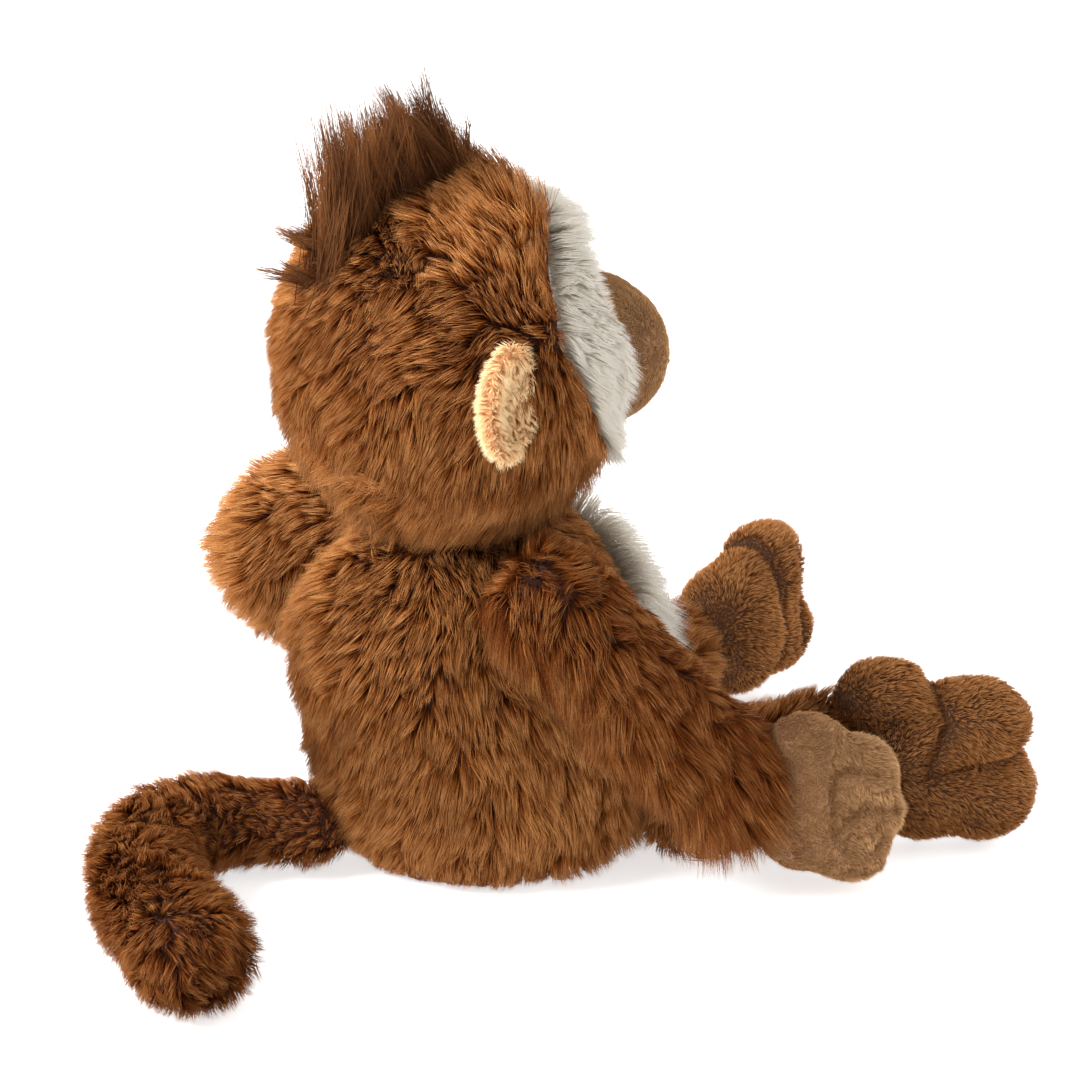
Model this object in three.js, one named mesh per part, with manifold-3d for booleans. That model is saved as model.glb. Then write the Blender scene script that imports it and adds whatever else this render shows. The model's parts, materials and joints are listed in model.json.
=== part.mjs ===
// Stuffed monkey, sitting on a flat surface with its legs forward, one arm beside its leg, the other bent
// behind it, and its tail curled round on the surface. Millimetres. It faces -Y, its right is -X, up is +Z,
// and the origin is the middle of the flat seat.
//
// Every cover is a sewn shell of pile fabric that opens where it is stitched to its neighbour, and every
// shell is filled by a stuffing solid of its own.
import * as THREE from 'three';
import { mergeVertices } from 'three/addons/utils/BufferGeometryUtils.js';
import Module from 'manifold-3d';

const wasm = await Module();
wasm.setup();

// ---------- driving dimensions ----------
const GAP = 0.3;             // room left between pieces that touch
const SIDES = 12;            // facets round a limb
const FABRIC = 2.4;          // pile fabric: knit backing and the dense foot of the pile
const SHORT_FABRIC = 1.8;    // short velour on face, hands and feet

const HEAD = { centre: [0, 6, 160], radii: [49, 48.5, 48.5], neckZ: 117.5 };
const BROW = { depth: 5, lift: 31, liftSpread: 14, sideSpread: 38 };    // degrees; the dip the eyes sit in
const FACE = { edgeY: -11, sideSweep: 9, jawSweep: 0.5, jawFromZ: 172, patchAngle: 41, patchTilt: 10 };
const MUZZLE = { centre: [0, -38.5, 152.8], radii: [28, 25, 22.7], openingInset: 6 };
const EYE = { radius: 5.2, post: 2, washer: 7.5, clearance: 1.4, side: 15, lift: 24 };   // angles in degrees
const TUFT = { width: 15, footZ: 186, frontY: -6, peakZ: 238, backY: 53 };
const EAR = { centre: [57, 17, 160.5], depth: 7, width: 14, height: 18, turn: 60 };

const TORSO = { height: 106, widthRatio: 0.89, neckRadius: 17, centreY: -5 };
const HUNCH = { depth: 9, z: 80, spread: 24 };     // how far the back stands out, and at what height
const CHEST = { depth: 6, z: 92, spread: 20 };
const BELLY = { halfWidth: 30, bottomZ: 16, topZ: 99 };
const PELLETS = { centre: [0, -4, 19], radii: [27, 30, 13], cloth: 1, mouth: 8 };
const NECK = { bottomZ: 106.4, topZ: 109.4, inner: 14.5, outer: 22 };

const ARM = { shoulder: 15.5, wrist: 12.5 };
const RIGHT_ARM = [[-47, 0, 97], [-56, -15, 79], [-65, -36, 54], [-73, -54, 37], [-77, -60, 34]];
const LEFT_ARM = [[47, 6, 97], [59, 20, 95], [71, 29.5, 83], [79, 21, 67], [83, 3, 54]];
const LEG = { hip: 17, ankle: 14 };
const RIGHT_LEG = [[-31, -58, 17.6], [-38, -76, 22], [-46, -93, 27], [-53, -105, 31]];
const LEFT_LEG = [[31, -58, 17.6], [41, -77, 19.5], [52, -96, 22], [60, -112, 25]];
const HAND = {
  length: 47, height: 51, thickness: 29, fingerHeight: 0.19,
  fingers: [[0.17, 0.17], [0.23, -0.07], [0.17, -0.3]],
};
const FOOT = {
  length: 58, height: 57, thickness: 34, fingerHeight: 0.24,
  fingers: [[0.2, 0.14], [0.2, -0.24]],
};
const RIGHT_HAND = {
  centre: [-83, -74, 30.5], fingers: [-0.3, -0.95, -0.08], thumb: [0, -0.08, 1], thumbAt: [-0.16, 0.35],
};
const LEFT_HAND = {
  centre: [86, -19, 48], fingers: [0.06, -0.97, -0.2], thumb: [0.1, -0.2, 0.97], thumbAt: [-0.1, 0.35],
};
const RIGHT_FOOT = {
  centre: [-69, -124, 28.8], fingers: [-0.45, -0.88, 0.12], thumb: [0, 0.12, 1], thumbAt: [-0.26, 0.4],
};
const LEFT_FOOT = {
  centre: [64, -138, 28.8], fingers: [0.35, -0.9, 0.22], thumb: [-0.05, 0.22, 0.97], thumbAt: [0.24, 0.26],
};

const TAIL = { root: 9.5, tip: 14 };
const TAIL_BASE = [[8, 53, 16], [15, 63, 16.3], [19.5, 74, 16.6], [20, 85, 17]];
const TAIL_END = [[12, 100, 17.3], [-8, 113, 17.6], [-32, 120, 17.6], [-64, 124, 17.6]];

// ---------- materials ----------
const surface = (colour, roughness = 0.95) =>
  new THREE.MeshStandardMaterial({ color: colour, roughness, metalness: 0 });
const BROWN_PILE = surface(0x82492a);
const WHITE_PILE = surface(0xd8cfc2);
const TAN_VELOUR = surface(0x9a7250);
const FOOT_VELOUR = surface(0x77502f);
const EAR_PLUSH = surface(0xdca674);
const TUFT_HAIR = surface(0x4a2d18, 0.8);
const FIBRE = surface(0xf1efe9, 1);
const LINING = surface(0xe6dfd0, 1);
const PELLET = surface(0xd9d9d4, 0.5);
const THREAD = surface(0x2a1a10, 0.7);
const SEAM_THREAD = surface(0x6a3d22, 0.8);
const EYE_PLASTIC = surface(0x1a0f08, 0.12);
const WASHER_PLASTIC = surface(0xd0ccc2, 0.5);

// ---------- solids ----------
// A closed three.js geometry as a manifold solid, turned right side out if it needs it.
function solid(geometry) {
  const bare = geometry.clone();
  bare.deleteAttribute('normal');
  bare.deleteAttribute('uv');
  const merged = mergeVertices(bare, 1e-4);
  const vertProperties = new Float32Array(merged.attributes.position.array);
  const triVerts = new Uint32Array(merged.index.array);
  if (signedVolume(vertProperties, triVerts) < 0) {
    for (let i = 0; i < triVerts.length; i += 3) {
      [triVerts[i], triVerts[i + 1]] = [triVerts[i + 1], triVerts[i]];
    }
  }
  const kept = withoutEmptyTriangles(triVerts);
  return new wasm.Manifold(new wasm.Mesh({ numProp: 3, vertProperties, triVerts: kept }));
}

function signedVolume(points, triangles) {
  const corners = [new THREE.Vector3(), new THREE.Vector3(), new THREE.Vector3()];
  let total = 0;
  for (let i = 0; i < triangles.length; i += 3) {
    corners.forEach((corner, k) => corner.fromArray(points, 3 * triangles[i + k]));
    total += corners[0].dot(corners[1].cross(corners[2]));
  }
  return total / 6;
}

function withoutEmptyTriangles(triangles) {
  const kept = [];
  for (let i = 0; i < triangles.length; i += 3) {
    const [a, b, c] = triangles.slice(i, i + 3);
    if (a !== b && b !== c && c !== a) kept.push(a, b, c);
  }
  return new Uint32Array(kept);
}

function geometryOf(manifold) {
  const mesh = manifold.getMesh();
  const geometry = new THREE.BufferGeometry();
  geometry.setAttribute('position', new THREE.BufferAttribute(mesh.vertProperties, 3));
  geometry.setIndex(new THREE.BufferAttribute(mesh.triVerts, 1));
  geometry.computeVertexNormals();
  return geometry;
}

function reshape(geometry, move) {
  const positions = geometry.attributes.position;
  const point = new THREE.Vector3();
  for (let i = 0; i < positions.count; i += 1) {
    point.fromBufferAttribute(positions, i);
    move(point);
    positions.setXYZ(i, point.x, point.y, point.z);
  }
  return geometry;
}

const lathe = (points, sides = SIDES) =>
  new THREE.LatheGeometry(points.map(([radius, along]) => new THREE.Vector2(radius, along)), sides);

// A body of revolution about the line from a point along a direction.
function turned(points, at, direction, sides = 16) {
  const geometry = lathe(points, sides);
  const up = new THREE.Vector3(0, 1, 0);
  const turn = new THREE.Quaternion().setFromUnitVectors(up, new THREE.Vector3(...direction).normalize());
  geometry.applyQuaternion(turn);
  geometry.translate(...at);
  return solid(geometry);
}

// Three directions at right angles: along the fingers, through the thickness, and towards the thumb.
function handFrame({ fingers, thumb }) {
  const f = new THREE.Vector3(...fingers).normalize();
  const through = new THREE.Vector3().crossVectors(new THREE.Vector3(...thumb), f).normalize();
  const t = new THREE.Vector3().crossVectors(f, through);
  return new THREE.Matrix4().makeBasis(f, through, t);
}

function ballGeometry(radii, frame = new THREE.Matrix4(), grow = 0, columns = 14, rows = 8) {
  const geometry = new THREE.SphereGeometry(1, columns, rows);
  geometry.rotateX(Math.PI / 2);
  geometry.scale(radii[0] + grow, radii[1] + grow, radii[2] + grow);
  geometry.applyMatrix4(frame);
  return geometry;
}

function ellipsoid(centre, radii, frame, grow, columns, rows) {
  const geometry = ballGeometry(radii, frame, grow, columns, rows);
  geometry.translate(...centre);
  return solid(geometry);
}

function block(low, high) {
  const size = high.map((value, i) => value - low[i]);
  const geometry = new THREE.BoxGeometry(...size);
  geometry.translate(...low.map((value, i) => value + size[i] / 2));
  return solid(geometry);
}

// ---------- limbs ----------
// Radius of a limb at a distance along it: it tapers evenly and both ends are round.
function limbRadius(limb, along, inset = 0) {
  const { length, start, end } = limb;
  const body = start + (end - start) * (along / length) - inset;
  const round = (fromEnd, cap) => {
    const share = Math.min(Math.max(fromEnd / cap, 0), 1);
    return Math.sqrt(1 - (1 - share) ** 2);
  };
  return body * round(along - inset, start - inset) * round(length - along - inset, end - inset);
}

// Stations from one distance to another, closer together over the round ends.
function stations(limb, from, to, count) {
  return Array.from({ length: count + 1 }, (_, i) => {
    const share = (1 - Math.cos((Math.PI * i) / count)) / 2;
    return from + (to - from) * share;
  });
}

// Wraps a body of revolution round a curve: its height becomes the distance along the curve.
function bend(geometry, curve, length) {
  const steps = 120;
  const frames = curve.computeFrenetFrames(steps, false);
  return reshape(geometry, (point) => {
    const share = Math.min(Math.max(point.y / length, 0), 1);
    const k = Math.round(share * steps);
    const centre = curve.getPointAt(share);
    const beyond = point.y - share * length;
    const { x, z } = point;
    point.copy(centre)
      .addScaledVector(frames.normals[k], x)
      .addScaledVector(frames.binormals[k], z)
      .addScaledVector(frames.tangents[k], beyond);
  });
}

function makeLimb(points, start, end, startPast = start, endPast = end) {
  const route = new THREE.CatmullRomCurve3(points.map((p) => new THREE.Vector3(...p)));
  const first = route.getPointAt(0).addScaledVector(route.getTangentAt(0), -startPast);
  const last = route.getPointAt(1).addScaledVector(route.getTangentAt(1), endPast);
  const curve = new THREE.CatmullRomCurve3([first, ...points.map((p) => new THREE.Vector3(...p)), last]);
  return { curve, length: curve.getLength(), start, end };
}

const MOUTH_SHARE = 0.3;     // how far down a round end the cover's open mouth is, as a share of its radius

function limbShell(limb, wall, openEnd) {
  const mouth = limb.start * MOUTH_SHARE;
  const far = openEnd ? limb.length - limb.end * MOUTH_SHARE : limb.length;
  const outer = stations(limb, mouth, far, 11).map((s) => [limbRadius(limb, s), s]);
  const innerFar = openEnd ? far : limb.length - wall;
  const inner = stations(limb, mouth, innerFar, 9).map((s) => [limbRadius(limb, s, wall), s]).reverse();
  if (!openEnd) {
    outer[outer.length - 1][0] = 0;
    inner[0][0] = 0;
  }
  return solid(bend(lathe([...outer, ...inner, outer[0]]), limb.curve, limb.length));
}

function limbFill(limb, inset, from, to) {
  const points = stations(limb, from, to, 9).map((s) => [limbRadius(limb, s, inset), s]);
  return solid(bend(lathe([[0, from], ...points, [0, to]]), limb.curve, limb.length));
}

const wholeLimb = (limb, grow) => {
  const points = stations(limb, 0, limb.length, 14).map((s) => [limbRadius(limb, s) + grow, s]);
  points[0][0] = 0;
  points[points.length - 1][0] = 0;
  return solid(bend(lathe(points), limb.curve, limb.length));
};

function addLimb(name, limb, wall, material, openEnd) {
  const inset = wall + GAP;
  const from = limb.start * MOUTH_SHARE;
  const to = openEnd ? limb.length - limb.end * MOUTH_SHARE : limb.length - inset;
  add(`${name}_skin`, limbShell(limb, wall, openEnd), material);
  add(`${name}_stuffing`, limbFill(limb, inset, from, to), FIBRE);
}

// ---------- hands and feet ----------
// A mitten of a palm, a thumb lobe on top and finger lobes below one another. The place of each finger and
// of the thumb is a distance along the fingers and one towards the thumb, as shares of the length and height.
function addPaw(name, place, size, limb, material) {
  const frame = handFrame(place);
  const { length, height, thickness } = size;
  const centre = new THREE.Vector3(...place.centre);
  const at = (f, through, t) =>
    new THREE.Vector3(f * length, through * thickness, t * height).applyMatrix4(frame).add(centre).toArray();
  const lobe = (f, t, radii) => ellipsoid(at(f, 0, t), radii, frame, 0, 10, 6);
  const palmRadii = [0.37 * length, 0.5 * thickness, 0.39 * height];
  const palm = (grow) => ellipsoid(at(-0.11, 0, -0.04), palmRadii, frame, grow);
  const fingerRadii = [0.28 * length, 0.42 * thickness, size.fingerHeight * height];
  const fingers = size.fingers.map(([f, t]) => lobe(f, t, fingerRadii));
  const thumb = lobe(...place.thumbAt, [0.26 * length, 0.36 * thickness, 0.15 * height]);
  const sleeve = wholeLimb(limb, 4 * GAP);
  const outer = fingers.reduce((all, finger) => all.add(finger), palm(0).add(thumb));
  add(`${name}_skin`, outer.subtract(palm(-SHORT_FABRIC)).subtract(sleeve), material);
  add(`${name}_stuffing`, palm(-SHORT_FABRIC - GAP).subtract(sleeve), FIBRE);
}

// ---------- the assembly ----------
const monkey = new THREE.Group();

function add(name, manifold, material) {
  const mesh = new THREE.Mesh(geometryOf(manifold), material);
  mesh.name = name;
  monkey.add(mesh);
}

// ---------- torso ----------
// Half depth of the torso at each height: a flat seat, a full belly and sloping shoulders.
const TORSO_SIDE = [
  [0, 31], [3, 38], [12, 44], [27, 47.5], [45, 48.5], [60, 47.5], [74, 44.5], [86, 40], [95, 34], [102, 27],
];

function torso(inset) {
  const side = TORSO_SIDE.map(([z, depth]) => [depth - inset, Math.max(z, inset)]);
  const top = TORSO.height - inset;
  const profile = [[0, inset], ...side, [TORSO.neckRadius + 3 - inset, top], [0, top]];
  const geometry = lathe(profile, 22);
  geometry.rotateX(Math.PI / 2);
  return solid(reshape(geometry, (point) => {
    const swell = ({ depth, z, spread }) => depth * Math.exp(-(((point.z - z) / spread) ** 2));
    const toBack = Math.min(Math.max(point.y / 40, -1), 1);
    point.y += toBack * swell(toBack > 0 ? HUNCH : CHEST);
    point.x *= TORSO.widthRatio;
    point.y += TORSO.centreY * (1 - (point.z / TORSO.height) ** 2);
  }));
}

// The chest and belly panel's outline, as a bar through the front of the torso.
function bellyBar(grow) {
  const middle = (BELLY.bottomZ + BELLY.topZ) / 2;
  const outline = new THREE.Shape();
  const halfHeight = (BELLY.topZ - BELLY.bottomZ) / 2;
  outline.absellipse(0, middle, BELLY.halfWidth + grow, halfHeight + grow, 0, 2 * Math.PI);
  const bar = new THREE.ExtrudeGeometry(outline, { depth: 80, bevelEnabled: false, curveSegments: 8 });
  bar.rotateX(Math.PI / 2);
  return solid(bar);
}

const uprightRod = (radius, at, height = 20) =>
  turned([[0, 0], [radius, 0], [radius, height], [0, height]], at, [0, 0, 1]);

function buildTorso() {
  const neck = uprightRod(TORSO.neckRadius, [0, 0, TORSO.height - 10]);
  const shell = torso(0).subtract(torso(FABRIC)).subtract(neck);
  add('body_skin', shell.subtract(bellyBar(GAP / 2)), BROWN_PILE);
  add('belly_panel', shell.intersect(bellyBar(-GAP / 2)), WHITE_PILE);

  const { centre, radii, cloth, mouth } = PELLETS;
  const well = uprightRod(radii[0] - 4, [centre[0], centre[1], -1]);
  const bag = ellipsoid(centre, radii, undefined, GAP);
  add('body_stuffing', torso(FABRIC + GAP).subtract(bag).subtract(well), FIBRE);
  const fillHole = uprightRod(mouth, centre);
  const bagShell = ellipsoid(centre, radii).subtract(ellipsoid(centre, radii, undefined, -cloth));
  add('pellet_bag', bagShell.subtract(fillHole), LINING);
  add('pellets', ellipsoid(centre, radii, undefined, -cloth - GAP), PELLET);
}

// ---------- head ----------
// How far the brow's dip draws the head's surface in, along a direction from the head's centre.
function browDip(direction) {
  const { x, y, z } = direction;
  if (y > 0) return 0;
  const lift = (THREE.MathUtils.radToDeg(Math.atan2(z, -y)) - BROW.lift) / BROW.liftSpread;
  const side = THREE.MathUtils.radToDeg(Math.asin(x)) / BROW.sideSpread;
  return BROW.depth * Math.exp(-(lift ** 2) - side ** 2);
}

function headBall(grow) {
  const geometry = ballGeometry(HEAD.radii, undefined, grow, 26, 17);
  reshape(geometry, (point) => {
    const direction = point.clone().normalize();
    point.addScaledVector(direction, -browDip(direction));
  });
  geometry.translate(...HEAD.centre);
  return solid(geometry);
}

// Everything in front of the white face's edge, which sweeps back towards the ears and forward to the jaw.
function faceRegion(grow) {
  const edge = Array.from({ length: 13 }, (_, i) => {
    const x = -66 + 11 * i;
    return new THREE.Vector2(x, FACE.edgeY + FACE.sideSweep * Math.min((x / 50) ** 2, 1) + grow);
  });
  const outline = new THREE.Shape([...edge, new THREE.Vector2(66, -90), new THREE.Vector2(-66, -90)]);
  const region = new THREE.ExtrudeGeometry(outline, { depth: 120, steps: 10, bevelEnabled: false });
  region.translate(0, 0, FACE.jawFromZ - 72);
  return solid(reshape(region, (point) => {
    point.y += FACE.jawSweep * Math.min(point.z - FACE.jawFromZ, 0);
  }));
}

// A cone out of the head's middle, for the tan patch round the muzzle and eyes.
function patchCone(grow) {
  const angle = THREE.MathUtils.degToRad(FACE.patchAngle + grow);
  const tilt = THREE.MathUtils.degToRad(FACE.patchTilt);
  const reach = 70;
  return turned([[0, 0], [reach * Math.sin(angle), reach * Math.cos(angle)], [0, reach]],
    HEAD.centre, [0, -Math.cos(tilt), Math.sin(tilt)], 20);
}

const eyeDirection = (side) => {
  const turn = THREE.MathUtils.degToRad(EYE.side) * side;
  const lift = THREE.MathUtils.degToRad(EYE.lift);
  return new THREE.Vector3(Math.sin(turn) * Math.cos(lift), -Math.cos(turn) * Math.cos(lift), Math.sin(lift));
};

const onEyeLine = (side, fromCentre) =>
  new THREE.Vector3(...HEAD.centre).addScaledVector(eyeDirection(side), fromCentre).toArray();

function rod(side, radius, from, to) {
  const points = [[0, 0], [radius, 0], [radius, to - from], [0, to - from]];
  return turned(points, onEyeLine(side, from), eyeDirection(side).toArray(), 12);
}

function buildEyes() {
  const surfaceRadius = HEAD.radii[1] - browDip(eyeDirection(1));
  const skinInside = surfaceRadius - SHORT_FABRIC;
  for (const [word, side] of [['left', 1], ['right', -1]]) {
    const seat = surfaceRadius + EYE.clearance;
    const dome = [[0, 0], [EYE.post - GAP, 0], [EYE.post - GAP, 8], [EYE.radius, 8], [EYE.radius * 0.93, 9.5],
      [EYE.radius * 0.64, 11.2], [0, 12.2]];
    add(`eye_${word}`, turned(dome, onEyeLine(side, seat - 8), eyeDirection(side).toArray()), EYE_PLASTIC);
    const washer = [[EYE.post, 0], [EYE.washer, 0], [EYE.washer, 1.4], [EYE.post, 1.4], [EYE.post, 0]];
    add(`eye_washer_${word}`,
      turned(washer, onEyeLine(side, skinInside - 3.8), eyeDirection(side).toArray()), WASHER_PLASTIC);
  }
}

function buildHead() {
  const below = block([-60, -60, 60], [60, 60, HEAD.neckZ]);
  const shell = headBall(0).subtract(headBall(-FABRIC)).subtract(below);
  add('head_skin', shell.subtract(faceRegion(GAP / 2)), BROWN_PILE);
  add('face_frame', shell.intersect(faceRegion(-GAP / 2)).subtract(patchCone(0.4)), WHITE_PILE);

  const muzzle = (grow) => ellipsoid(MUZZLE.centre, MUZZLE.radii, undefined, grow, 18, 10);
  const faceShell = headBall(0).subtract(headBall(-SHORT_FABRIC)).intersect(patchCone(0));
  const holes = rod(1, EYE.post + GAP, 30, 60).add(rod(-1, EYE.post + GAP, 30, 60));
  add('face_patch', faceShell.subtract(muzzle(-MUZZLE.openingInset)).subtract(holes), TAN_VELOUR);

  const pockets = rod(1, EYE.washer + GAP, 34, 60).add(rod(-1, EYE.washer + GAP, 34, 60));
  const belowFill = block([-60, -60, 60], [60, 60, HEAD.neckZ + GAP]);
  add('head_stuffing', headBall(-FABRIC - GAP).subtract(belowFill).subtract(pockets), FIBRE);

  add('muzzle_skin', muzzle(0).subtract(muzzle(-SHORT_FABRIC)).subtract(headBall(GAP)), TAN_VELOUR);
  add('muzzle_stuffing', muzzle(-SHORT_FABRIC - GAP).subtract(headBall(GAP)), FIBRE);

  const layer = (depth) => muzzle(GAP + depth).subtract(muzzle(GAP));
  add('nose_patch', layer(1.2).intersect(noseBar()), THREAD);
  add('mouth_stitch', layer(0.8).intersect(mouthBar()), THREAD);
}

// A rounded triangle, seen from the front, high on the muzzle.
function noseBar() {
  const z = MUZZLE.centre[2] + 9;
  const outline = new THREE.Shape();
  outline.moveTo(-7, z + 3);
  outline.quadraticCurveTo(0, z + 6, 7, z + 3);
  outline.quadraticCurveTo(7, z - 2, 0, z - 5);
  outline.quadraticCurveTo(-7, z - 2, -7, z + 3);
  return frontBar(outline, 5);
}

// A smile line 1.4 mm wide under the nose.
function mouthBar() {
  const z = MUZZLE.centre[2] - 5;
  const outline = new THREE.Shape();
  outline.moveTo(-15, z + 2.4);
  outline.quadraticCurveTo(0, z - 6, 15, z + 2.4);
  outline.lineTo(15, z + 1);
  outline.quadraticCurveTo(0, z - 7.4, -15, z + 1);
  return frontBar(outline, 8);
}

function frontBar(outline, curveSegments) {
  const bar = new THREE.ExtrudeGeometry(outline, { depth: 60, bevelEnabled: false, curveSegments });
  bar.rotateX(Math.PI / 2);
  bar.translate(0, -40, 0);
  return solid(bar);
}

// A strip of long hair along the top of the head, wide at its foot and thin at its crest.
function buildTuft() {
  const outline = new THREE.Shape();
  const { frontY, backY, footZ, peakZ } = TUFT;
  const crownZ = HEAD.centre[2] + HEAD.radii[2];
  outline.moveTo(frontY, footZ);
  outline.lineTo(frontY, crownZ + 2);
  outline.quadraticCurveTo(frontY + 6, peakZ - 2, frontY + 24, peakZ);
  outline.quadraticCurveTo(backY - 4, peakZ - 2, backY, crownZ + 2);
  outline.lineTo(backY - 8, footZ);
  const fin = new THREE.ExtrudeGeometry(outline, { depth: 1, bevelEnabled: false, curveSegments: 6 });
  reshape(fin, (point) => {
    const { x: y, y: z, z: side } = point;
    const climb = (z - TUFT.footZ) / (TUFT.peakZ - TUFT.footZ);
    point.set((side - 0.5) * TUFT.width * (1 - 0.55 * Math.max(climb, 0)), y, z);
  });
  add('hair_tuft', solid(fin).subtract(headBall(GAP)), TUFT_HAIR);
}

// ---------- ears ----------
// Two nested cups that face forward and out: the plush back panel and the front panel inside it.
function buildEars() {
  for (const [word, side] of [['left', 1], ['right', -1]]) {
    const turn = new THREE.Matrix4().makeRotationZ(THREE.MathUtils.degToRad(side * EAR.turn));
    const centre = [EAR.centre[0] * side, EAR.centre[1], EAR.centre[2]];
    const cup = (grow) => ellipsoid(centre, [EAR.width, EAR.depth, EAR.height], turn, grow, 14, 8);
    const front = new THREE.BoxGeometry(60, 30, 60);
    front.translate(0, -15, 0);
    front.applyMatrix4(turn);
    front.translate(...centre);
    const opening = solid(front);
    const head = headBall(1.5);
    add(`ear_back_${word}`, cup(0).subtract(cup(-2)).subtract(opening).subtract(head), EAR_PLUSH);
    add(`ear_front_${word}`, cup(-2 - GAP).subtract(cup(-4)).subtract(opening).subtract(head), EAR_PLUSH);
  }
}

// ---------- everything ----------
function buildNeck() {
  const { bottomZ, topZ, inner, outer } = NECK;
  const side = [[inner, 0], [outer, 0], [outer + 0.8, (topZ - bottomZ) / 2], [outer, topZ - bottomZ],
    [inner, topZ - bottomZ], [inner, 0]];
  add('neck_seam', turned(side, [0, 0, bottomZ], [0, 0, 1]), SEAM_THREAD);
}

function buildLimbs() {
  const arms = {
    right: makeLimb(RIGHT_ARM, ARM.shoulder, ARM.wrist, ARM.shoulder, 4),
    left: makeLimb(LEFT_ARM, ARM.shoulder, ARM.wrist, ARM.shoulder, 4),
  };
  const legs = {
    right: makeLimb(RIGHT_LEG, LEG.hip, LEG.ankle, LEG.hip, 4),
    left: makeLimb(LEFT_LEG, LEG.hip, LEG.ankle, LEG.hip, 4),
  };
  const places = { right: [RIGHT_HAND, RIGHT_FOOT], left: [LEFT_HAND, LEFT_FOOT] };
  for (const word of ['left', 'right']) {
    const [hand, foot] = places[word];
    addLimb(`arm_${word}`, arms[word], FABRIC, BROWN_PILE, true);
    addPaw(`hand_${word}`, hand, HAND, arms[word], TAN_VELOUR);
    addLimb(`leg_${word}`, legs[word], FABRIC, BROWN_PILE, true);
    addPaw(`foot_${word}`, foot, FOOT, legs[word], FOOT_VELOUR);
  }
}

function buildTail() {
  const middle = (TAIL.root + TAIL.tip) / 2;
  const base = makeLimb(TAIL_BASE, TAIL.root, middle, TAIL.root, 2);
  const end = makeLimb(TAIL_END, middle, TAIL.tip, middle, TAIL.tip);
  addLimb('tail_base', base, FABRIC, BROWN_PILE, true);
  addLimb('tail_end', end, FABRIC, BROWN_PILE, false);
}

buildTorso();
buildNeck();
buildHead();
buildEyes();
buildTuft();
buildEars();
buildLimbs();
buildTail();

export default monkey;
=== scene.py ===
"""The looks of the stuffed monkey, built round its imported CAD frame.

Every cover is a smooth skin grown from the CAD solids, and its pile is real geometry: each fibre is a closed,
tapered, three-sided strand. Strands gather into locks round guide strands, and lie along a combing direction.
Lengths named with MM are given in millimetres and used in metres.
"""
import json
import math
from dataclasses import dataclass

import bmesh
import bpy
import numpy as np
from mathutils import Matrix, Vector, noise
from mathutils.bvhtree import BVHTree
from mathutils.kdtree import KDTree

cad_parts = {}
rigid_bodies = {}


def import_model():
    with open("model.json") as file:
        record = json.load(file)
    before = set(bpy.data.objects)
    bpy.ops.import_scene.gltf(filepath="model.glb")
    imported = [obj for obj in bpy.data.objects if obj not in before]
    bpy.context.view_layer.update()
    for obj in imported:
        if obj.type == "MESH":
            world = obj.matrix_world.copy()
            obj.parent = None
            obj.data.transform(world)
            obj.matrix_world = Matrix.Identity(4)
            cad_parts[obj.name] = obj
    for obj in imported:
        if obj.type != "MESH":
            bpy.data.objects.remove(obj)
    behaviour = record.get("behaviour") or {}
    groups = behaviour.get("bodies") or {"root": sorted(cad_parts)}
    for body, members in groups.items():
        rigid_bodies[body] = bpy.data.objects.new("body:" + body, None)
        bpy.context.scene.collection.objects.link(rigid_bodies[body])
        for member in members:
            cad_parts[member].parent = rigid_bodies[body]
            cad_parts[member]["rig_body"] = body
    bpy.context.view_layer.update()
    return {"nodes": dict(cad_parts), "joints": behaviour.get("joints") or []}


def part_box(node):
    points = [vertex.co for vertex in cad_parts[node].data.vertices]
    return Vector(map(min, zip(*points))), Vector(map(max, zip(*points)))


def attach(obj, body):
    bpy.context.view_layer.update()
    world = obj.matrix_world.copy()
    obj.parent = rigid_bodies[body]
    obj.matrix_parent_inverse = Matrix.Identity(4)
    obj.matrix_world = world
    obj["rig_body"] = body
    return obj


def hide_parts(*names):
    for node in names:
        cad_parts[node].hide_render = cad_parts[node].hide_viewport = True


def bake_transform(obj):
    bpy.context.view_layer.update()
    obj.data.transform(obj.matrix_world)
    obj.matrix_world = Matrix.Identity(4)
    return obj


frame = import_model()

MM = 0.001
MOST_TRIANGLES = 190000               # in one fur piece
FLOOR_CLEARANCE = 0.3 * MM            # no strand comes closer to the floor than this
SIDES = ("left", "right")
UP = np.array([0.0, 0.0, 1.0])


# ---------- camera, light and stage ----------

VIEW_AZIMUTH = math.radians(240)      # the camera looks from behind the monkey's right side
VIEW_ELEVATION = math.radians(20)
VIEW_DISTANCE = 1.4
VIEW_CENTRE = (0.0189, 0.0921, 0.025)  # along the view's right, up and back directions
FRAME_HEIGHT = 0.3258                 # what the frame's height spans at the view centre
SENSOR_HEIGHT = 24.0
FLOOR_GLOW = 0.65                     # a lit white sweep, on which only contact shadows are seen
SKY = 0.8
# Each light's direction along the view's right, up and back, its distance and size in metres, and its watts.
LIGHTS = {
    "key": (-0.85, 0.55, 0.6, 0.9, 0.45, 13.0),
    "fill": (0.9, 0.6, 0.5, 1.0, 0.7, 2.0),
    "front": (0.3, 0.6, -0.8, 1.0, 0.6, 5.0),
}


def view_axes():
    a, e = VIEW_AZIMUTH, VIEW_ELEVATION
    back = Vector((math.sin(a) * math.cos(e), -math.cos(a) * math.cos(e), math.sin(e)))
    right = Vector((math.cos(a), math.sin(a), 0.0))
    return right, back.cross(right), back


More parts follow.
